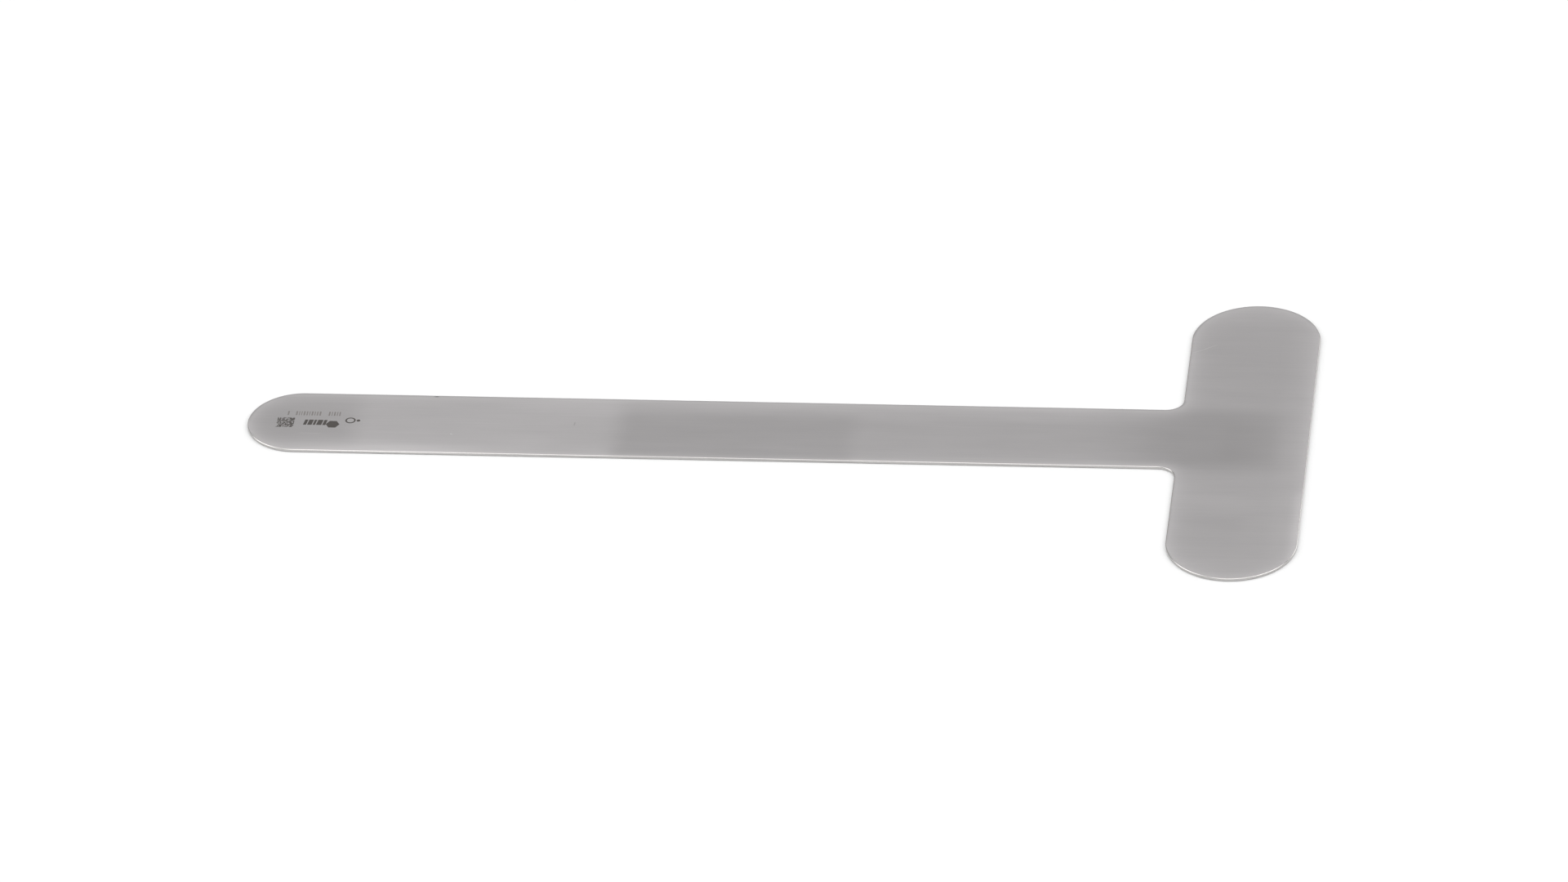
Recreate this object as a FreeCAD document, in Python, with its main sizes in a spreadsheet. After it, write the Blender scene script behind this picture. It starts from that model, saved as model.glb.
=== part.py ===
"""T-shaped plate instrument, one piece of 1 mm stainless steel sheet.

The plate is a straight flat handle with a full-round end, which runs into a crosspiece with
full-round ends. The two inner corners are rounded, and the whole rim is broken with a small
radius on both faces. Nothing is joined to it: it has no insert, no grip and no fastener.

Frame, in millimetres: X runs along the handle towards the crosspiece, Y along the crosspiece,
and Z up through the thickness. The origin is the centre of the overall outline, on the
underside, so the plate lies on the plane Z = 0.
"""

import FreeCAD
import Part
import Sketcher

import math
import os

OUT_FOLDER = "parts"

# alias, value in millimetres, what it is
DIMENSIONS = [
    ("overall_length", 305.0, "from the tip of the handle to the crosspiece's outer edge"),
    ("handle_width", 30.0, "of the handle, whose end is a half circle of this width"),
    ("crosspiece_span", 143.0, "from one rounded end of the crosspiece to the other"),
    ("crosspiece_width", 37.0, "of the crosspiece, whose ends are half circles of this width"),
    ("inner_radius", 5.0, "of the corners between the handle and the crosspiece"),
    ("sheet_thickness", 1.0, "of the rolled sheet"),
    ("rim_radius", 0.3, "that the rim is broken to, on both faces"),
]

START, END, CENTRE = 1, 2, 3  # Sketcher's numbers for the points of an edge
ORIGIN_POINT = -1, 1
X_AXIS = -1


def add_dimension_sheet(doc):
    """Puts the driving dimensions in a spreadsheet, one row each, with an alias."""
    sheet = doc.addObject("Spreadsheet::Sheet", "Dimensions")
    for row, (alias, value, meaning) in enumerate(DIMENSIONS, start=1):
        sheet.set(f"A{row}", alias)
        sheet.set(f"B{row}", str(value))
        sheet.set(f"C{row}", meaning)
        sheet.setAlias(f"B{row}", alias)
    doc.recompute()
    return sheet


def arc(x, y, radius, start_degrees, end_degrees):
    """An arc in the sketch plane, counterclockwise."""
    circle = Part.Circle(FreeCAD.Vector(x, y, 0), FreeCAD.Vector(0, 0, 1), radius)
    return Part.ArcOfCircle(circle, math.radians(start_degrees), math.radians(end_degrees))


def line(x1, y1, x2, y2):
    return Part.LineSegment(FreeCAD.Vector(x1, y1, 0), FreeCAD.Vector(x2, y2, 0))


def draw_outline(sketch, size):
    """Adds the plate's ten edges, counterclockwise, and returns their numbers by name."""
    tip = -size.overall_length / 2
    outer = size.overall_length / 2
    inner = outer - size.crosspiece_width
    handle_half = size.handle_width / 2
    end_radius = size.crosspiece_width / 2
    end_centre = size.crosspiece_span / 2 - end_radius
    corner = size.inner_radius
    corner_x = inner - corner
    corner_y = handle_half + corner
    edges = {
        "handle_end": arc(tip + handle_half, 0, handle_half, 90, 270),
        "handle_near": line(tip + handle_half, -handle_half, corner_x, -handle_half),
        "corner_near": arc(corner_x, -corner_y, corner, 0, 90),
        "inner_near": line(inner, -corner_y, inner, -end_centre),
        "end_near": arc(outer - end_radius, -end_centre, end_radius, 180, 360),
        "outer": line(outer, -end_centre, outer, end_centre),
        "end_far": arc(outer - end_radius, end_centre, end_radius, 0, 180),
        "inner_far": line(inner, end_centre, inner, corner_y),
        "corner_far": arc(corner_x, corner_y, corner, 270, 360),
        "handle_far": line(corner_x, handle_half, tip + handle_half, handle_half),
    }
    return {name: sketch.addGeometry(edge, False) for name, edge in edges.items()}


def constrain_outline(sketch, edge):
    """Makes every joint tangent, and gives each free size one driving dimension."""
    joints = [
        ("handle_end", END, "handle_near", START),
        ("handle_near", END, "corner_near", END),
        ("corner_near", START, "inner_near", START),
        ("inner_near", END, "end_near", START),
        ("end_near", END, "outer", START),
        ("outer", END, "end_far", START),
        ("end_far", END, "inner_far", START),
        ("inner_far", END, "corner_far", END),
        ("corner_far", START, "handle_far", START),
        ("handle_far", END, "handle_end", START),
    ]
    for first, first_end, second, second_end in joints:
        sketch.addConstraint(
            Sketcher.Constraint("Tangent", edge[first], first_end, edge[second], second_end)
        )
    for name in ("handle_near", "handle_far"):
        sketch.addConstraint(Sketcher.Constraint("Horizontal", edge[name]))
    for name in ("inner_near", "inner_far"):
        sketch.addConstraint(Sketcher.Constraint("Vertical", edge[name]))
    sketch.addConstraint(Sketcher.Constraint("PointOnObject", edge["handle_end"], CENTRE, X_AXIS))
    sketch.addConstraint(Sketcher.Constraint("Equal", edge["end_near"], edge["end_far"]))
    sketch.addConstraint(Sketcher.Constraint("Equal", edge["corner_near"], edge["corner_far"]))
    sketch.addConstraint(
        Sketcher.Constraint(
            "Symmetric", edge["end_near"], CENTRE, edge["end_far"], CENTRE, X_AXIS
        )
    )


def drive_outline(sketch, edge, size):
    """Binds the outline's dimensions to the sheet."""
    half_length = size.overall_length / 2
    handle_half = size.handle_width / 2
    end_radius = size.crosspiece_width / 2
    driven = [
        (
            "HandleEndRadius",
            Sketcher.Constraint("Radius", edge["handle_end"], handle_half),
            "Dimensions.handle_width / 2",
        ),
        (
            "HandleEndCentre",
            Sketcher.Constraint(
                "DistanceX", edge["handle_end"], CENTRE, *ORIGIN_POINT, half_length - handle_half
            ),
            "(Dimensions.overall_length - Dimensions.handle_width) / 2",
        ),
        (
            "OuterEdge",
            Sketcher.Constraint("DistanceX", *ORIGIN_POINT, edge["outer"], START, half_length),
            "Dimensions.overall_length / 2",
        ),
        (
            "CrosspieceEndRadius",
            Sketcher.Constraint("Radius", edge["end_near"], end_radius),
            "Dimensions.crosspiece_width / 2",
        ),
        (
            "CrosspieceEndCentres",
            Sketcher.Constraint(
                "DistanceY",
                edge["end_near"],
                CENTRE,
                edge["end_far"],
                CENTRE,
                size.crosspiece_span - size.crosspiece_width,
            ),
            "Dimensions.crosspiece_span - Dimensions.crosspiece_width",
        ),
        (
            "InnerCornerRadius",
            Sketcher.Constraint("Radius", edge["corner_near"], size.inner_radius),
            "Dimensions.inner_radius",
        ),
    ]
    for name, constraint, expression in driven:
        number = sketch.addConstraint(constraint)
        sketch.renameConstraint(number, name)
        sketch.setExpression(f"Constraints.{name}", expression)


def add_outline_sketch(doc, body, size):
    """The T-shaped outline, drawn on the body's own XY plane and fully constrained."""
    plane = next(p for p in body.Origin.OriginFeatures if p.Role == "XY_Plane")
    sketch = body.newObject("Sketcher::SketchObject", "PlateOutline")
    sketch.AttachmentSupport = [(plane, "")]
    sketch.MapMode = "FlatFace"
    edge = draw_outline(sketch, size)
    constrain_outline(sketch, edge)
    drive_outline(sketch, edge, size)
    doc.recompute()
    if sketch.solve() != 0 or not sketch.FullyConstrained:
        raise RuntimeError("the outline sketch isn't solved and fully constrained")
    return sketch


def add_plate(doc, size):
    """The plate: the outline padded to the sheet's thickness, with its rim broken on both faces."""
    body = doc.addObject("PartDesign::Body", "TeePlate")
    body.Label = "tee_plate"
    sketch = add_outline_sketch(doc, body, size)
    pad = body.newObject("PartDesign::Pad", "Sheet")
    pad.Profile = sketch
    pad.setExpression("Length", "Dimensions.sheet_thickness")
    doc.recompute()
    sketch.Visibility = False
    rim = body.newObject("PartDesign::Fillet", "BrokenRim")
    rim.Base = (pad, rim_edge_names(pad.Shape))
    rim.setExpression("Radius", "Dimensions.rim_radius")
    doc.recompute()
    return body


def rim_edge_names(shape):
    """The names of the edges that lie in a face of the sheet, which are the ones to be broken."""
    names = []
    for number, edge in enumerate(shape.Edges, start=1):
        box = edge.BoundBox
        if box.ZLength < shape.BoundBox.ZLength / 2:
            names.append(f"Edge{number}")
    return names


def check_document(doc, bodies):
    """Stops the build if an object failed, or a body isn't one valid solid."""
    for item in doc.Objects:
        if "Invalid" in item.State or "Error" in item.State:
            raise RuntimeError(f"{item.Label} failed: {item.State}")
    for body in bodies:
        shape = body.Shape
        if shape.isNull() or not shape.isValid() or len(shape.Solids) != 1:
            raise RuntimeError(f"{body.Label} isn't one valid solid")


def check_plate(body, size):
    """Stops the build if the plate isn't the size that the sheet says."""
    box = body.Shape.optimalBoundingBox(False)
    wanted = size.overall_length, size.crosspiece_span, size.sheet_thickness
    found = box.XLength, box.YLength, box.ZLength
    tolerance = 0.001
    if any(abs(a - b) > tolerance for a, b in zip(wanted, found)):
        raise RuntimeError(f"the plate measures {found}, and it should be {wanted}")


def write_parts(bodies):
    os.makedirs(OUT_FOLDER, exist_ok=True)
    for body in bodies:
        body.Shape.exportStep(os.path.join(OUT_FOLDER, body.Label + ".step"))
        print(f"{body.Label}: {body.Shape.Volume:.1f} mm3, {len(body.Shape.Faces)} faces")


doc = FreeCAD.newDocument("TeePlateInstrument")
dimensions = add_dimension_sheet(doc)
plate = add_plate(doc, dimensions)
check_document(doc, [plate])
check_plate(plate, dimensions)
write_parts([plate])
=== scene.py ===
"""Looks of the T-shaped steel plate: its finished mesh, engraved marks, metal, studio and camera.

The plate's sizes are read from its CAD mesh, so the looks follow the model. All lengths are in
metres, in the model's frame: X along the handle towards the crosspiece, Y along the crosspiece,
Z up from the face that the plate lies on.
"""
import math
import random
from types import SimpleNamespace

import bpy
import numpy as np
from mathutils import Matrix, Vector
from mathutils.geometry import delaunay_2d_cdt


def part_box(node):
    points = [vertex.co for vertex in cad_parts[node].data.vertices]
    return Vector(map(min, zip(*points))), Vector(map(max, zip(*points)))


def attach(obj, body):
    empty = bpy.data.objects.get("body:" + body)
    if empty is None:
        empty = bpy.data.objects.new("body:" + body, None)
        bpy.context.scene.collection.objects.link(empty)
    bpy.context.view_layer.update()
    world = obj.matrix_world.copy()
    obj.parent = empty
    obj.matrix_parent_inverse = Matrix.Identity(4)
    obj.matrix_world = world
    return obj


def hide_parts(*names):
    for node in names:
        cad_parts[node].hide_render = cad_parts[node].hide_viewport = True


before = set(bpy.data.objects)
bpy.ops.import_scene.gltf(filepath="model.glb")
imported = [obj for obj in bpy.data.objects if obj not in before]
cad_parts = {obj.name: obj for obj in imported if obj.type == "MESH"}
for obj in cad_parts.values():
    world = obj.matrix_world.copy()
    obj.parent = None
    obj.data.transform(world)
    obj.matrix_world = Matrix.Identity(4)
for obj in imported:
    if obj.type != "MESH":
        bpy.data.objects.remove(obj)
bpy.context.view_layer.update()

MM = 0.001
PLATE_NODE = "tee_plate"
BODY = "root"
SURFACE_TOLERANCE = 0.001 * MM


def measured_plate():
    """The plate's sizes, read from its CAD mesh."""
    low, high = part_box(PLATE_NODE)
    points = [v.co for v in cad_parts[PLATE_NODE].data.vertices]
    handle_half = max(p.y for p in points if p.x < 0)
    arm = [p for p in points if abs(p.y) > 2 * handle_half]
    inner = min(p.x for p in arm)
    on_inner_edge = [abs(p.y) for p in points if abs(p.x - inner) < SURFACE_TOLERANCE]
    end_radius = (high.x - inner) / 2
    on_top = [p for p in points if p.z > high.z - SURFACE_TOLERANCE]
    return SimpleNamespace(
        tip=low.x,
        outer=high.x,
        inner=inner,
        handle_half=handle_half,
        span_half=max(on_inner_edge) + end_radius,
        end_radius=end_radius,
        corner=min(on_inner_edge) - handle_half,
        rim=handle_half - max(p.y for p in on_top if p.x < 0),
        thickness=high.z - low.z,
    )


def eased(values, low, high):
    """0 up to low, 1 from high, and a smooth step between."""
    share = np.clip((values - low) / (high - low), 0, 1)
    return share * share * (3 - 2 * share)


def within(values, low, high, border):
    """1 between low and high, and 0 outside, with soft borders."""
    reach = border / 2
    return eased(values, low - reach, low + reach) * (1 - eased(values, high - reach, high + reach))


# ---------------------------------------------------------------- the plate's outline

OUTLINE_STEP = 1.0 * MM  # between points along the outline
# The small dent in the handle's far edge, where the points are closer together
NICK_FROM_TIP = 52.9 * MM
NICK_LENGTH = 2.2 * MM
NICK_STEP = 0.12 * MM


def stations(length, fine_at=None):
    """Distances along a stretch of the outline, from its start to just before its end.

    They are closer together round fine_at, which is one such distance.
    """
    count = math.ceil(length / OUTLINE_STEP)
    found = [length * i / count for i in range(count)]
    if fine_at is not None:
        reach = NICK_LENGTH
        found = [s for s in found if abs(s - fine_at) > reach + NICK_STEP]
        steps = round(2 * reach / NICK_STEP)
        found += [fine_at - reach + 2 * reach * i / steps for i in range(steps + 1)]
    return sorted(found)


def straight(start, end, fine_at=None):
    """Points along a straight edge as (x, y, outward x, outward y). The metal is on the left."""
    start, end = Vector(start), Vector(end)
    run = end - start
    along = run.normalized()
    found = []
    for s in stations(run.length, fine_at):
        point = start + along * s
        found.append((point.x, point.y, along.y, -along.x))
    return found


def turn(centre, radius, from_degrees, to_degrees):
    """Points round an arc. Clockwise ones are inner corners, so their centre is outside the metal."""
    start, end = math.radians(from_degrees), math.radians(to_degrees)
    side = 1 if end > start else -1
    found = []
    for s in stations(abs(end - start) * radius):
        angle = start + side * s / radius
        x, y = math.cos(angle), math.sin(angle)
        found.append((centre[0] + radius * x, centre[1] + radius * y, side * x, side * y))
    return found


def outline(plate):
    """The whole outline, counterclockwise from the top of the handle's round end."""
    half, corner, end = plate.handle_half, plate.corner, plate.end_radius
    end_x = plate.inner + end
    end_y = plate.span_half - end
    tip_x = plate.tip + half
    corner_x = plate.inner - corner
    corner_y = half + corner
    nick = corner_x - (plate.tip + NICK_FROM_TIP)
    return np.array(
        turn((tip_x, 0), half, 90, 270)
        + straight((tip_x, -half), (corner_x, -half))
        + turn((corner_x, -corner_y), corner, 90, 0)
        + straight((plate.inner, -corner_y), (plate.inner, -end_y))
        + turn((end_x, -end_y), end, 180, 360)
        + straight((plate.outer, -end_y), (plate.outer, end_y))
        + turn((end_x, end_y), end, 0, 180)
        + straight((plate.inner, end_y), (plate.inner, corner_y))
        + turn((corner_x, corner_y), corner, 0, -90)
        + straight((corner_x, half), (tip_x, half), fine_at=nick)
    )


# ---------------------------------------------------------------- the plate's surface

RIM_STEPS = 7  # across each rounding of the rim
MARGIN = 9.0 * MM  # how far in the rings that follow the outline go
MARGIN_RINGS = 10  # between the rim and the margin
RING_CROWDING = 1.8  # above 1, the rings are closer together towards the rim
# What hand finishing leaves of the flat sheet
DUB_WIDTH = 4.0 * MM  # the faces fall away a little towards the rim
DUB_DEPTH = 0.03 * MM
WAVE_DEPTH = 0.05 * MM  # the belt leaves long shallow hollows along the grain
WAVE_COUNT = 7
WAVE_LENGTHS = (60 * MM, 160 * MM)
WAVE_WIDTHS = (7 * MM, 24 * MM)
WAVE_SEED = 11
LEVEL_FROM_TIP = (36 * MM, 60 * MM)  # the waves start beyond the engraved end
NICK_REACH = 1.3 * MM  # how far in from the edge the dent goes
NICK_DEPTH = 0.06 * MM


def face_height(plate, inset):
    """The upper face's height at a distance in from the outline, without its waves."""
    fall = max(0.0, 1 - inset / DUB_WIDTH)
    return plate.thickness - DUB_DEPTH * fall * fall


def rim_section(plate):
    """The section from the upper face's margin over the rim to the lower face's margin.

    Each step is its inset, its height, and how far the surface has turned, from 0 on the faces
    to 1 on the side.
    """
    upper = []
    for i in range(MARGIN_RINGS, -1, -1):
        inset = plate.rim + (MARGIN - plate.rim) * (i / MARGIN_RINGS) ** RING_CROWDING
        upper.append((inset, face_height(plate, inset), 0.0))
    edge_height = upper[-1][1]
    for i in range(1, RIM_STEPS + 1):
        turned = i / RIM_STEPS
        angle = math.pi / 2 * turned
        inset = plate.rim * (1 - math.sin(angle))
        upper.append((inset, edge_height - plate.rim * (1 - math.cos(angle)), turned))
    lower = [(inset, plate.thickness - height, turned) for inset, height, turned in reversed(upper)]
    return upper + lower


def waves():
    """Long shallow waves, as radians per metre along X and Y, and the phase."""
    draw = random.Random(WAVE_SEED)
    found = []
    for _ in range(WAVE_COUNT):
        along = 2 * math.pi / draw.uniform(*WAVE_LENGTHS)
        across = 2 * math.pi / draw.uniform(*WAVE_WIDTHS)
        found.append((along * draw.choice((-1, 1)), across, draw.uniform(0, 2 * math.pi)))
    return found


def wave_depth(plate, points, edge_distance):
    """How far each point of a face sinks below the flat, fading out towards the rim."""
    total = np.zeros(len(points))
    for along, across, phase in waves():
        total += np.sin(points[:, 0] * along + points[:, 1] * across + phase)
    share = 0.5 + 0.5 * total / WAVE_COUNT
    fade = eased(edge_distance, 0, MARGIN) * eased(points[:, 0] - plate.tip, *LEVEL_FROM_TIP)
    return WAVE_DEPTH * share * fade


def nick_share(plate, points, edge_distance):
    """1 at the middle of the dent in the far edge, falling to 0 at its ends."""
    along = np.abs(points[:, 0] - (plate.tip + NICK_FROM_TIP))
    share = (1 - eased(along, 0, NICK_LENGTH / 2)) * (1 - eased(edge_distance, 0, NICK_REACH))
    return share * (points[:, 1] > plate.handle_half / 2)


# ---------------------------------------------------------------- the plate's colour: patches, painted highlights and painted shade

# Patches where the upper face's colour is made lighter or darker: (x from, x to, y from, y to) in mm,
# how soft the borders along X and Y are in mm, and the brightness beside the rest. The rim
# patches, painted highlight and painted shade along the rim, go over the rim's painted highlight too.
FACE_PATCHES = [
    ((-121, -46, -20, 20), (10, 10), 1.13),
    ((-135, -66, -20, -7), (10, 10), 1.05),
    ((-160, -124, -9, 10), (12, 8), 0.97),
    ((-150, -140, -8, 6), (8, 8), 0.97),
    ((-44, 22, -20, 9), (8, 8), 0.93),
    ((24, 96, -20, 20), (8, 8), 1.015),
    ((98, 140, -18, 15), (34, 8), 0.90),
    ((108, 143, -14, 14), (16, 7), 0.945),
    ((128, 144, -14, 8), (6, 8), 0.965),
    ((112, 160, -90, -17), (6, 6), 1.03),
    ((112, 148, 30, 52), (7, 7), 0.975),
    ((112, 160, 61, 80), (6, 8), 1.035),
    ((112, 160, -80, -60), (6, 8), 1.03),
    ((117, 160, -36, -31), (6, 6), 1.02),
    ((117, 136, -57, -40), (8, 8), 0.97),
    ((144, 160, -60, 60), (6, 6), 1.03),
]
# Painted highlight and painted shade along the rim: patches that make its colour lighter or darker
RIM_PAINTED_LIGHT_PATCHES = [
    ((-139, -90, -20, -11.5), (40, 5), 1.15),
    ((-70, 112, 7, 20), (20, 5), 1.045),
    ((-46, 23, -20, -11), (6, 5), 0.90),
    ((23, 120, -20, -11), (6, 5), 0.97),
    ((150.5, 160, -80, -28), (4, 14), 1.14),
]
RIM_PAINTED_HIGHLIGHT = 1.29  # painted highlight: how much lighter the colour is at the rim, fading into a lighter band on the faces
RIM_FADE = 2.6 * MM  # how fast that falls off, away from the rim
SIDE_PAINTED_SHADE = 0.60  # painted shade: the side's brightness, as a share of the rim of its faces
SIDE_FROM = 0.45  # how far the rim has turned, in quarter turns, where the side begins
# A painted dark reflection: the fine dark line just inside the rim, on the edges that face this way
DARK_REFLECTION_TOWARD = math.radians(105)
DARK_REFLECTION_REACH = (math.cos(math.radians(85)), math.cos(math.radians(60)))
DARK_REFLECTION_FADE = (0.50 * MM, 0.90 * MM)  # in from the outline
DARK_REFLECTION_DARKNESS = 0.22
NICK_PAINTED_SHADE = 0.85  # painted shade in the dent, at its middle


def patched(gain, points, patches):
    """The gain with the patches' own gains over it."""
    for (x_from, x_to, y_from, y_to), (x_border, y_border), patch_gain in patches:
        along = within(points[:, 0], x_from * MM, x_to * MM, x_border * MM)
        across = within(points[:, 1], y_from * MM, y_to * MM, y_border * MM)
        gain = gain * (1 + (patch_gain - 1) * along * across)
    return gain


def dark_reflection_line(surface):
    """1 in the painted dark reflection along the edge, and 0 away from it."""
    way = math.cos(DARK_REFLECTION_TOWARD), math.sin(DARK_REFLECTION_TOWARD)
    toward = surface.outward[:, 0] * way[0] + surface.outward[:, 1] * way[1]
    return eased(toward, *DARK_REFLECTION_REACH) * (1 - eased(surface.distance, *DARK_REFLECTION_FADE))


def tone_and_painted_light(plate, surface):
    """The colour's brightness at each point: patches, a painted highlight at the rim, and painted
    shade on the side, in the dent and in a dark line just inside the rim.
    """
    points = surface.points
    near_rim = np.exp(-surface.distance / RIM_FADE)
    plain = 1 + (RIM_PAINTED_HIGHLIGHT - 1) * near_rim
    upper_tone_and_light = patched(np.ones(len(points)), points, FACE_PATCHES)
    upper_tone_and_light = upper_tone_and_light + (RIM_PAINTED_HIGHLIGHT - upper_tone_and_light) * near_rim
    upper_tone_and_light = patched(upper_tone_and_light, points, RIM_PAINTED_LIGHT_PATCHES)
    # painted shade in the dent
    upper_tone_and_light = upper_tone_and_light * (1 - NICK_PAINTED_SHADE * nick_share(plate, points, surface.distance))
    # painted dark reflection just inside the rim
    upper_tone_and_light = upper_tone_and_light * (1 - DARK_REFLECTION_DARKNESS * dark_reflection_line(surface))
    found = np.where(points[:, 2] > plate.thickness / 2, upper_tone_and_light, plain)
    return found * (1 - (1 - SIDE_PAINTED_SHADE) * eased(surface.turned, 0, SIDE_FROM))


# ---------------------------------------------------------------- the plate's mesh

# A surface is a namespace of arrays: its points, and for each point its distance in from the
# outline, the way outward, and how far the rim has turned there.

LATTICE_PITCH = 2.0 * MM  # between points inside the margin
LATTICE_GAP = 0.6 * LATTICE_PITCH  # between them and the margin
BATCH = 64  # points of a line that are compared at a time
INNER_TRIANGLES = 1  # what delaunay_2d_cdt gives: the triangles inside the face
MERGE_WITHIN = 1e-9  # nearer points would be taken as one
RIM_MATERIAL = 1  # its place among the piece's materials, after the faces' own


def distance_to(points, line):
    """Each point's distance to the nearest point of a closed line."""
    found = np.full(len(points), np.inf)
    for start in range(0, len(line), BATCH):
        part = line[start : start + BATCH]
        gap = points[:, None, :] - part[None, :, :]
        found = np.minimum(found, np.sqrt((gap * gap).sum(2)).min(1))
    return found


def lattice(plate, edge):
    """Evenly spaced points of a face, inside the margin."""
    xs = np.arange(plate.tip, plate.outer, LATTICE_PITCH)
    ys = np.arange(-plate.span_half, plate.span_half, LATTICE_PITCH)
    grid = np.array([(x, y) for x in xs for y in ys])
    in_handle = np.abs(grid[:, 1]) < plate.handle_half
    in_crosspiece = grid[:, 0] > plate.inner
    grid = grid[in_handle | in_crosspiece]
    return grid[distance_to(grid, edge) > MARGIN + LATTICE_GAP]


def filled(loop, inside):
    """Triangles over a loop of points and the points inside it, as indices into both together."""
    points = [Vector(p) for p in np.vstack([loop, inside])]
    face = list(range(len(loop)))
    sides = list(zip(face, face[1:] + face[:1]))
    made = delaunay_2d_cdt(points, sides, [face], INNER_TRIANGLES, MERGE_WITHIN)
    _, _, triangles, origins, _, _ = made
    return [[origins[corner][0] for corner in triangle] for triangle in triangles]


def ring_surface(plate, line, section):
    """The rings that follow the outline, from the upper face over the rim to the lower face."""
    edge, outward = line[:, :2], line[:, 2:]
    rings, distances = [], []
    for index, (inset, height, _) in enumerate(section):
        flat = edge - outward * inset
        distance = np.full(len(line), inset)
        sunk = wave_depth(plate, flat, distance)
        if index < len(section) / 2:
            heights = height - sunk - nick_share(plate, flat, distance) * NICK_DEPTH
        else:
            heights = height + sunk
        rings.append(np.column_stack([flat, heights]))
        distances.append(distance)
    return SimpleNamespace(
        points=np.vstack(rings),
        distance=np.concatenate(distances),
        outward=np.vstack([outward] * len(section)),
        turned=np.repeat([turned for _, _, turned in section], len(line)),
    )


def inner_surface(plate, inside, edge):
    """The points inside the margin, first those of the upper face and then those of the lower."""
    distance = distance_to(inside, edge)
    sunk = wave_depth(plate, inside, distance)
    top = np.column_stack([inside, plate.thickness - sunk])
    bottom = np.column_stack([inside, sunk])
    return SimpleNamespace(
        points=np.vstack([top, bottom]),
        distance=np.concatenate([distance, distance]),
        outward=np.zeros((2 * len(inside), 2)),
        turned=np.zeros(2 * len(inside)),
    )


def joined(first, second):
    """Two surfaces as one."""
    pairs = [(name, (vars(first)[name], vars(second)[name])) for name in vars(first)]
    return SimpleNamespace(**{name: np.concatenate(pair) for name, pair in pairs})


def ring_faces(count, rings):
    """The faces between rings of count points each."""
    faces = []
    for ring in range(rings - 1):
        a, b = ring * count, (ring + 1) * count
        for i in range(count):
            j = (i + 1) % count
            faces.append((a + i, b + i, b + j, a + j))
    return faces


def inner_faces(triangles, count, ring_first, inner_first):
    """Triangles that number a ring's points and then those inside it, with the mesh's numbers."""
    faces = []
    for triangle in triangles:
        faces.append([ring_first + v if v < count else inner_first + v - count for v in triangle])
    return faces


def plate_mesh(plate):
    """The plate as one closed mesh, with its brightness, which holds painted highlights and painted
    shade, and its grain map.
    """
    line = outline(plate)
    section = rim_section(plate)
    edge = line[:, :2]
    inside = lattice(plate, edge)
    surface = joined(ring_surface(plate, line, section), inner_surface(plate, inside, edge))

    count, rings = len(line), len(section)
    upward = filled(surface.points[:count, :2], inside)
    downward = [triangle[::-1] for triangle in upward]
    last_ring = (rings - 1) * count
    inner_top = rings * count
    inner_bottom = inner_top + len(inside)
    faces = ring_faces(count, rings)
    faces += inner_faces(upward, count, 0, inner_top)
    faces += inner_faces(downward, count, last_ring, inner_bottom)

    mesh = bpy.data.meshes.new("tee_plate_finished")
    mesh.from_pydata(surface.points.tolist(), [], faces)
    mesh.shade_smooth()
    # The brightness holds the colour's patches and its painted highlights and painted shade.
    brightness = mesh.attributes.new("brightness", "FLOAT", "POINT")
    brightness.data.foreach_set("value", tone_and_painted_light(plate, surface))
    rim_faces = mesh.polygons[MARGIN_RINGS * count : (rings - 1 - MARGIN_RINGS) * count]
    for polygon in rim_faces:
        polygon.material_index = RIM_MATERIAL
    add_grain_map(mesh, line, section)
    return mesh


def distances_across(section):
    """Each ring's distance from the first one, over the surface."""
    found = [0.0]
    for (inset_a, height_a, _), (inset_b, height_b, _) in zip(section, section[1:]):
        found.append(found[-1] + math.hypot(inset_b - inset_a, height_b - height_a))
    return found


def add_grain_map(mesh, line, section):
    """Gives faces U across X and V along it, and the rim U across itself and V along the outline."""
    count = len(line)
    steps = np.linalg.norm(np.diff(line[:, :2], axis=0, append=line[:1, :2]), axis=1)
    travel = np.concatenate([[0.0], np.cumsum(steps)])
    across = distances_across(section)
    grain = mesh.uv_layers.new(name="grain")
    for number, polygon in enumerate(mesh.polygons):
        wraps = number % count == count - 1
        for corner in polygon.loop_indices:
            vertex = mesh.loops[corner].vertex_index
            if polygon.material_index == RIM_MATERIAL:
                place = vertex % count
                along = travel[count] if wraps and place == 0 else travel[place]
                grain.data[corner].uv = (across[vertex // count], along)
            else:
                point = mesh.vertices[vertex].co
                grain.data[corner].uv = (point.y, point.x)


# ---------------------------------------------------------------- materials

STEEL_TINT = (0.665, 0.646, 0.649)
RIM_TINT = (0.666, 0.650, 0.639)
SATIN_ROUGHNESS = 0.34
SATIN_ANISOTROPY = 0.5
RIM_ROUGHNESS = 0.24
RIM_ANISOTROPY = 0.4
DARK_TINT = (0.045, 0.040, 0.036)
GREY_TINT = (0.37, 0.345, 0.335)
ENGRAVING_ROUGHNESS = 0.5

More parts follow.
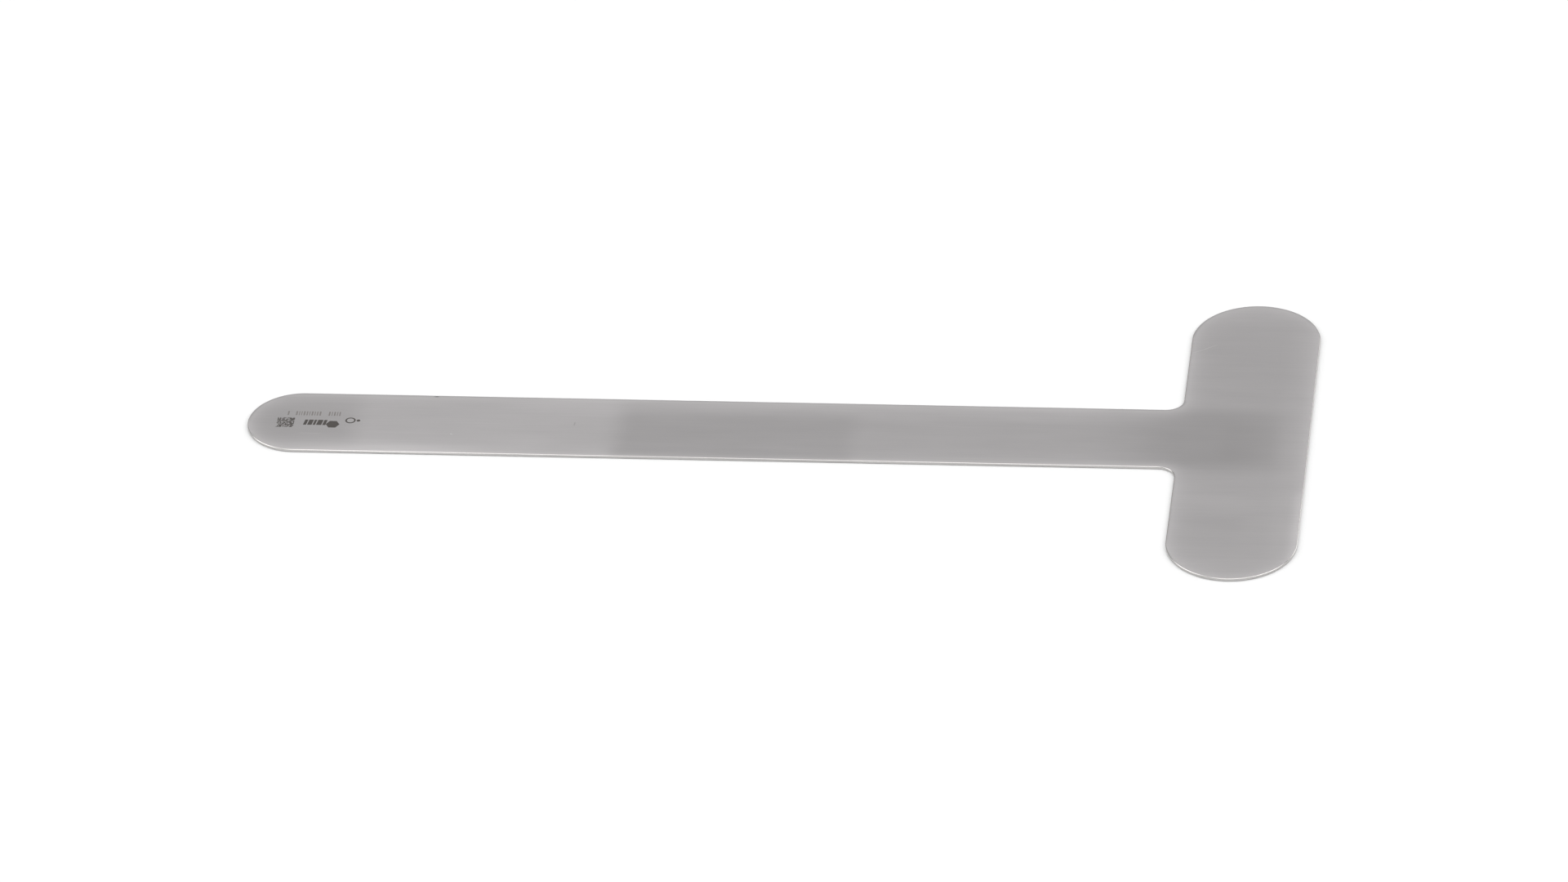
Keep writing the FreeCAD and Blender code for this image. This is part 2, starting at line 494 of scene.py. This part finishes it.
# Noises: the width and length of their streaks, and how much they vary the metal
NOISE_DETAIL = 2.0
NOISE_ROUGHNESS = 0.6
HAIR_SIZE = (0.18 * MM, 18 * MM)
HAIR_BRIGHTNESS = 0.09
HAIR_ROUGHNESS = 0.25
HAIR_RELIEF = 0.003 * MM
HAIR_RELIEF_STRENGTH = 0.4
STREAK_SIZE = (0.9 * MM, 45 * MM)
STREAK_BRIGHTNESS = 0.03
STREAK_ROUGHNESS = 0.12
CLOUD_SIZE = (9.0 * MM, 35 * MM)
CLOUD_BRIGHTNESS = 0.10
RIM_LINE_SIZE = (0.08 * MM, 6 * MM)
RIM_LINE_BRIGHTNESS = 0.2
RIM_LINE_ROUGHNESS = 0.3
SPECKLE_SIZE = (0.10 * MM, 0.25 * MM)
SPECKLE_BRIGHTNESS = 0.5

# Hairline scratches and specks: start and end in mm, width in mm, change of brightness
SCRATCHES = [
    ((115.9, 45.2), (120.6, 48.0), 0.35, 0.14),
    ((119.0, 47.2), (123.4, 50.2), 0.35, 0.16),
    ((-58.1, 0.2), (-58.0, 2.4), 0.60, -0.16),
    ((-93.3, -5.1), (-92.5, -5.3), 0.40, 0.40),
    ((-137.5, -6.2), (-129.5, -6.6), 1.00, 0.05),
]
# Where a scratch starts to fade, as a share of half its length and of half its width
SCRATCH_END_FADE = 0.5
SCRATCH_SIDE_FADE = 0.3


def node(tree, kind, inputs=None, **settings):
    """A new node, with its settings made and its inputs set or linked."""
    made = tree.nodes.new(kind)
    for name, value in settings.items():
        setattr(made, name, value)
    for name, value in (inputs or {}).items():
        if isinstance(value, bpy.types.NodeSocket):
            tree.links.new(value, made.inputs[name])
        else:
            made.inputs[name].default_value = value
    return made


def maths(tree, operation, first, second=0.0, third=0.0):
    """The result of an operation on up to three values or sockets."""
    inputs = {0: first, 1: second, 2: third}
    return node(tree, "ShaderNodeMath", inputs, operation=operation).outputs[0]


def fading(tree, value, start):
    """1 where the value's size is up to start, falling smoothly to 0 where it is 1."""
    inputs = {
        "Value": maths(tree, "ABSOLUTE", value),
        "From Min": start,
        "From Max": 1.0,
        "To Min": 1.0,
        "To Max": 0.0,
    }
    made = node(tree, "ShaderNodeMapRange", inputs, interpolation_type="SMOOTHSTEP")
    return made.outputs["Result"]


def grain_noise(tree, place, width, length):
    """Noise drawn out along X, around 0.5: width and length are the size of its streaks."""
    scale = (1 / length, 1 / width, 1 / width)
    inputs = {
        "Vector": node(tree, "ShaderNodeMapping", {"Vector": place, "Scale": scale}).outputs[0],
        "Scale": 1.0,
        "Detail": NOISE_DETAIL,
        "Roughness": NOISE_ROUGHNESS,
    }
    return node(tree, "ShaderNodeTexNoise", inputs).outputs["Fac"]


def new_metal(name, roughness, anisotropic):
    """A metal with a Principled shader, with its anisotropy along the grain map."""
    material = bpy.data.materials.new(name)
    material.use_nodes = True
    tree = material.node_tree
    shader = tree.nodes["Principled BSDF"]
    shader.inputs["Metallic"].default_value = 1.0
    shader.inputs["Roughness"].default_value = roughness
    shader.inputs["Anisotropic"].default_value = anisotropic
    tangent = node(tree, "ShaderNodeTangent", direction_type="UV_MAP", uv_map="grain")
    tree.links.new(tangent.outputs[0], shader.inputs["Tangent"])
    return material, tree, shader


def attribute(tree, name):
    """The value that the mesh holds at each point under this name."""
    return node(tree, "ShaderNodeAttribute", attribute_name=name).outputs["Fac"]


def scratch_mask(tree, place, start, end, width):
    """1 along a hairline from start to end, given in mm, fading out at its ends and sides."""
    start, end = Vector(start) * MM, Vector(end) * MM
    run = end - start
    inputs = {
        "Vector": place,
        "Location": (*((start + end) / 2), 0),
        "Rotation": (0, 0, math.atan2(run.y, run.x)),
        "Scale": (run.length / 2, width * MM / 2, 1),
    }
    local = node(tree, "ShaderNodeMapping", inputs, vector_type="TEXTURE").outputs[0]
    parts = node(tree, "ShaderNodeSeparateXYZ", {"Vector": local}).outputs
    along = fading(tree, parts["X"], SCRATCH_END_FADE)
    aside = fading(tree, parts["Y"], SCRATCH_SIDE_FADE)
    return maths(tree, "MULTIPLY", along, aside)


def scaled_tint(tree, tint, brightness):
    """The tint times a brightness that varies over the surface."""
    made = node(tree, "ShaderNodeVectorMath", {0: tint, "Scale": brightness}, operation="SCALE")
    return made.outputs[0]


def varied(tree, base, value, amount):
    """base times 1 + amount * (value - 0.5)."""
    gain = maths(tree, "MULTIPLY_ADD", value, amount, 1 - amount / 2)
    return maths(tree, "MULTIPLY", base, gain)


def satin_steel():
    """Satin-ground stainless steel with its grain along X, for the faces."""
    material, tree, shader = new_metal("satin_steel", SATIN_ROUGHNESS, SATIN_ANISOTROPY)
    place = node(tree, "ShaderNodeTexCoord").outputs["Object"]
    hairs = grain_noise(tree, place, *HAIR_SIZE)
    streaks = grain_noise(tree, place, *STREAK_SIZE)
    clouds = grain_noise(tree, place, *CLOUD_SIZE)
    # The brightness attribute carries painted highlights and painted shade into the colour.
    brightness = varied(tree, attribute(tree, "brightness"), hairs, HAIR_BRIGHTNESS)
    brightness = varied(tree, brightness, streaks, STREAK_BRIGHTNESS)
    brightness = varied(tree, brightness, clouds, CLOUD_BRIGHTNESS)
    for start, end, width, gain in SCRATCHES:
        mask = scratch_mask(tree, place, start, end, width)
        scratched = maths(tree, "MULTIPLY_ADD", mask, gain, 1.0)
        brightness = maths(tree, "MULTIPLY", brightness, scratched)
    tree.links.new(scaled_tint(tree, STEEL_TINT, brightness), shader.inputs["Base Color"])
    roughness = varied(tree, SATIN_ROUGHNESS, streaks, STREAK_ROUGHNESS)
    roughness = varied(tree, roughness, hairs, HAIR_ROUGHNESS)
    tree.links.new(roughness, shader.inputs["Roughness"])
    inputs = {"Strength": HAIR_RELIEF_STRENGTH, "Distance": HAIR_RELIEF, "Height": hairs}
    bump = node(tree, "ShaderNodeBump", inputs)
    tree.links.new(bump.outputs[0], shader.inputs["Normal"])
    return material


def polished_rim():
    """The rim, ground along the outline and polished smoother than the faces."""
    material, tree, shader = new_metal("polished_rim", RIM_ROUGHNESS, RIM_ANISOTROPY)
    grain = node(tree, "ShaderNodeUVMap", uv_map="grain").outputs[0]
    width, length = RIM_LINE_SIZE
    inputs = {"Vector": grain, "Scale": (1 / width, 1 / length, 1.0)}
    stretched = node(tree, "ShaderNodeMapping", inputs).outputs[0]
    lines = node(tree, "ShaderNodeTexNoise", {"Vector": stretched, "Scale": 1.0}).outputs["Fac"]
    # The brightness attribute carries the rim's painted highlight and the side's painted shade into
    # the colour.
    brightness = varied(tree, attribute(tree, "brightness"), lines, RIM_LINE_BRIGHTNESS)
    tree.links.new(scaled_tint(tree, RIM_TINT, brightness), shader.inputs["Base Color"])
    roughness = varied(tree, RIM_ROUGHNESS, lines, RIM_LINE_ROUGHNESS)
    tree.links.new(roughness, shader.inputs["Roughness"])
    return material


def engraving(name, tint, metallic):
    """A laser marking: an oxide film, duller than the steel round it, with a fine speckle."""
    material = bpy.data.materials.new(name)
    material.use_nodes = True
    tree = material.node_tree
    shader = tree.nodes["Principled BSDF"]
    shader.inputs["Metallic"].default_value = metallic
    shader.inputs["Roughness"].default_value = ENGRAVING_ROUGHNESS
    place = node(tree, "ShaderNodeTexCoord").outputs["Object"]
    speckle = grain_noise(tree, place, *SPECKLE_SIZE)
    brightness = varied(tree, 1.0, speckle, SPECKLE_BRIGHTNESS)
    tree.links.new(scaled_tint(tree, tint, brightness), shader.inputs["Base Color"])
    return material


def finished_plate(plate):
    """The plate's finished piece, which stands for the CAD node."""
    piece = bpy.data.objects.new("plate", plate_mesh(plate))
    bpy.context.scene.collection.objects.link(piece)
    piece.data.materials.append(satin_steel())
    piece.data.materials.append(polished_rim())
    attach(piece, BODY)
    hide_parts(PLATE_NODE)


# ---------------------------------------------------------------- engraved marks
# They are plain shapes that can't be read. All places are in mm: x from the handle's tip, y from its
# centre line.

MARK_PROUD = 0.004  # how far the marks stand above the upper face, so that they show
MARK_ROOT = 0.06  # how far they go below it
CODE_CENTRE = (11.0, -0.8)
CODE_SIDE = 5.0
CODE_CELLS = 16
CODE_DOT = 0.93  # share of its cell that a dot fills
CODE_FILL = 0.72  # how often a cell has its dot
CODE_SEED = 5
BADGE_CENTRE = (24.75, -1.4)
BADGE_RADIUS = 2.0
BADGE_SIDES = 6
BAR_WIDTHS = (0.9, 1.3, 0.7, 1.5, 0.9)
BAR_GAP = 0.3
BARS_FROM = 16.2
BARS_Y = (-1.9, 0.8)
BAR_SLANT = 0.35
# Groups of upright strokes: where each starts, and the widths of its strokes
TICK_GROUPS = [
    (11.0, (0.45,)),
    (13.4, (0.45, 0.25, 0.25, 0.45, 0.35, 0.25, 0.45, 0.25, 0.35, 0.45)),
    (22.9, (0.45, 0.25, 0.45, 0.25, 0.35)),
]
TICK_GAP = 0.42
TICKS_Y = (3.05, 5.15)
RING_CENTRE = (29.65, 0.8)
RING_RADII = (1.05, 1.5)
DISC_CENTRE = (31.95, 0.8)
DISC_RADIUS = 0.55
ROUND_STEPS = 36


def rectangle(x_from, x_to, y_from, y_to, slant=0.0):
    """A box's corners, counterclockwise, with its top leaning by slant."""
    return [(x_from, y_from), (x_to, y_from), (x_to + slant, y_to), (x_from + slant, y_to)]


def polygon(centre, radius, sides):
    angles = [2 * math.pi * i / sides for i in range(sides)]
    return [(centre[0] + radius * math.cos(a), centre[1] + radius * math.sin(a)) for a in angles]


def random_dots():
    """Dots of a square grid, each there or not at random."""
    draw = random.Random(CODE_SEED)
    pitch = CODE_SIDE / CODE_CELLS
    dot = pitch * CODE_DOT
    left = CODE_CENTRE[0] - CODE_SIDE / 2
    bottom = CODE_CENTRE[1] - CODE_SIDE / 2
    found = []
    for column in range(CODE_CELLS):
        for row in range(CODE_CELLS):
            if draw.random() < CODE_FILL:
                x, y = left + column * pitch, bottom + row * pitch
                found.append(rectangle(x, x + dot, y, y + dot))
    return found


def badge_and_bars():
    """A plain hexagon with a row of slanting blocks beside it."""
    found = [polygon(BADGE_CENTRE, BADGE_RADIUS, BADGE_SIDES)]
    x = BARS_FROM
    for width in BAR_WIDTHS:
        found.append(rectangle(x, x + width, *BARS_Y, slant=BAR_SLANT))
        x += width + BAR_GAP
    return found


def tick_row():
    """Groups of upright strokes of a few widths."""
    found = []
    for x, widths in TICK_GROUPS:
        for width in widths:
            found.append(rectangle(x, x + width, *TICKS_Y))
            x += width + TICK_GAP
    return found


def ring_and_disc():
    """A disc, as a plain shape, and a ring, as a band between two loops."""
    disc = polygon(DISC_CENTRE, DISC_RADIUS, ROUND_STEPS)
    inner, outer = (polygon(RING_CENTRE, radius, ROUND_STEPS) for radius in RING_RADII)
    return [disc], [(outer, inner)]


def mark_mesh(plate, name, shapes, bands):
    """Shapes, and bands between two loops, as closed solids sunk into the upper face."""
    top = plate.thickness + MARK_PROUD * MM
    root = plate.thickness - MARK_ROOT * MM
    points, faces = [], []

    def add_loop(loop, height):
        first = len(points)
        points.extend((plate.tip + x * MM, y * MM, height) for x, y in loop)
        return list(range(first, len(points)))

    def add_wall(lower, upper):
        faces.extend(zip(lower, lower[1:] + lower[:1], upper[1:] + upper[:1], upper))

    for loop in shapes:
        lower, upper = add_loop(loop, root), add_loop(loop, top)
        faces.append(upper)
        faces.append(lower[::-1])
        add_wall(lower, upper)
    for outer, inner in bands:
        outer_low, outer_top = add_loop(outer, root), add_loop(outer, top)
        inner_low, inner_top = add_loop(inner, root), add_loop(inner, top)
        add_wall(outer_low, outer_top)
        add_wall(outer_top, inner_top)
        add_wall(inner_top, inner_low)
        add_wall(inner_low, outer_low)
    mesh = bpy.data.meshes.new(name)
    mesh.from_pydata(points, [], faces)
    return mesh


def add_marks(plate):
    """The engraved marks, each one a piece that rides on the plate's body."""
    dark = engraving("dark_engraving", DARK_TINT, metallic=0.0)
    grey = engraving("grey_engraving", GREY_TINT, metallic=1.0)
    discs, rings = ring_and_disc()
    marks = [
        ("dot_square", dark, "dark_engraving", random_dots(), ()),
        ("badge_and_bars", dark, "dark_engraving", badge_and_bars(), ()),
        ("tick_row", grey, "grey_engraving", tick_row(), ()),
        ("ring_and_disc", dark, "dark_engraving", discs, rings),
    ]
    for name, material, slot, shapes, bands in marks:
        piece = bpy.data.objects.new(name, mark_mesh(plate, name, shapes, bands))
        bpy.context.scene.collection.objects.link(piece)
        piece.data.materials.append(material)
        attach(piece, BODY)


# ---------------------------------------------------------------- studio and camera

FLOOR_SIZE = 80.0
FLOOR_ALBEDO = 0.69
FLOOR_GAP = 0.02 * MM
# Elevation in degrees and brightness. The horizon is as bright as the floor, so neither ends there.
SKY = [
    (-90, 0.38),
    (-1, 1.02),
    (1.5, 1.02),
    (4, 0.40),
    (14, 0.44),
    (33, 0.48),
    (55, 0.54),
    (66, 0.60),
    (76, 1.20),
    (90, 1.20),
]
SKY_STRENGTH = 1.2
# Soft lights: name, the way to it, how wide it looks in degrees, strength
SOFT_LIGHTS = [
    ("front_light", (0.0, -1.7, 1.9), 60, 1.18),
    ("right_light", (1.0, -0.2, 1.0), 54, 1.36),
    ("left_light", (-1.0, -0.1, 0.8), 54, 1.34),
    ("far_right_light", (1.3, 1.45, 0.75), 34, 0.36),
]

CAMERA_AZIMUTH = 7.60
CAMERA_ELEVATION = 32.73
CAMERA_ROLL = -2.994
CAMERA_DISTANCE = 2.9126
CAMERA_TARGET = (2.82 * MM, -3.99 * MM, 0.0)
CAMERA_LENS = 234.4


def add_floor():
    """A wide matt floor, just under the plate."""
    material = bpy.data.materials.new("pale_floor")
    material.use_nodes = True
    shader = material.node_tree.nodes["Principled BSDF"]
    shader.inputs["Base Color"].default_value = (FLOOR_ALBEDO, FLOOR_ALBEDO, FLOOR_ALBEDO, 1.0)
    shader.inputs["Roughness"].default_value = 1.0
    shader.inputs["Specular IOR Level"].default_value = 0.0
    half = FLOOR_SIZE / 2
    corners = [(-half, -half), (half, -half), (half, half), (-half, half)]
    mesh = bpy.data.meshes.new("floor")
    mesh.from_pydata([(x, y, -FLOOR_GAP) for x, y in corners], [], [(0, 1, 2, 3)])
    mesh.materials.append(material)
    floor = bpy.data.objects.new("floor", mesh)
    bpy.context.scene.collection.objects.link(floor)


def add_sky():
    """Soft light from all round, which depends only on the height above the horizon."""
    world = bpy.data.worlds.new("soft_studio")
    bpy.context.scene.world = world
    world.use_nodes = True
    tree = world.node_tree
    direction = node(tree, "ShaderNodeTexCoord").outputs["Generated"]
    height = node(tree, "ShaderNodeSeparateXYZ", {"Vector": direction}).outputs["Z"]
    place = maths(tree, "MULTIPLY_ADD", height, 0.5, 0.5)
    ramp = node(tree, "ShaderNodeValToRGB", {"Fac": place})
    stops = ramp.color_ramp.elements
    stops.remove(stops[1])
    ramp.color_ramp.interpolation = "EASE"
    for number, (elevation, brightness) in enumerate(SKY):
        position = 0.5 + 0.5 * math.sin(math.radians(elevation))
        stop = stops.new(position) if number else stops[0]
        stop.position = position
        stop.color = (brightness / SKY_STRENGTH,) * 3 + (1.0,)
    background = tree.nodes["Background"]
    tree.links.new(ramp.outputs["Color"], background.inputs["Color"])
    background.inputs["Strength"].default_value = SKY_STRENGTH


def add_soft_lights():
    """Wide, even lights from far away, as from large soft boxes."""
    for name, toward, width, strength in SOFT_LIGHTS:
        data = bpy.data.lights.new(name, "SUN")
        data.energy = strength
        data.angle = math.radians(width)
        lamp = bpy.data.objects.new(name, data)
        bpy.context.scene.collection.objects.link(lamp)
        lamp.rotation_euler = (-Vector(toward)).to_track_quat("-Z", "Y").to_euler()


def add_camera():
    """Looks at the target from the given azimuth and elevation, turned by the roll."""
    azimuth, elevation = math.radians(CAMERA_AZIMUTH), math.radians(CAMERA_ELEVATION)
    back = Vector((
        math.sin(azimuth) * math.cos(elevation),
        -math.cos(azimuth) * math.cos(elevation),
        math.sin(elevation),
    ))
    right = (-back).cross(Vector((0, 0, 1))).normalized()
    upward = right.cross(-back)
    turned = Matrix.Rotation(math.radians(CAMERA_ROLL), 3, back)
    right, upward = turned @ right, turned @ upward
    data = bpy.data.cameras.new("camera")
    data.lens = CAMERA_LENS
    data.clip_end = 100.0
    camera = bpy.data.objects.new("camera", data)
    bpy.context.scene.collection.objects.link(camera)
    place = Vector(CAMERA_TARGET) + back * CAMERA_DISTANCE
    axes = Matrix((right, upward, back)).transposed()
    camera.matrix_world = Matrix.Translation(place) @ axes.to_4x4()
    bpy.context.scene.camera = camera


plate = measured_plate()
finished_plate(plate)
add_marks(plate)
add_floor()
add_sky()
add_soft_lights()
add_camera()
bpy.context.scene.view_settings.view_transform = "Standard"
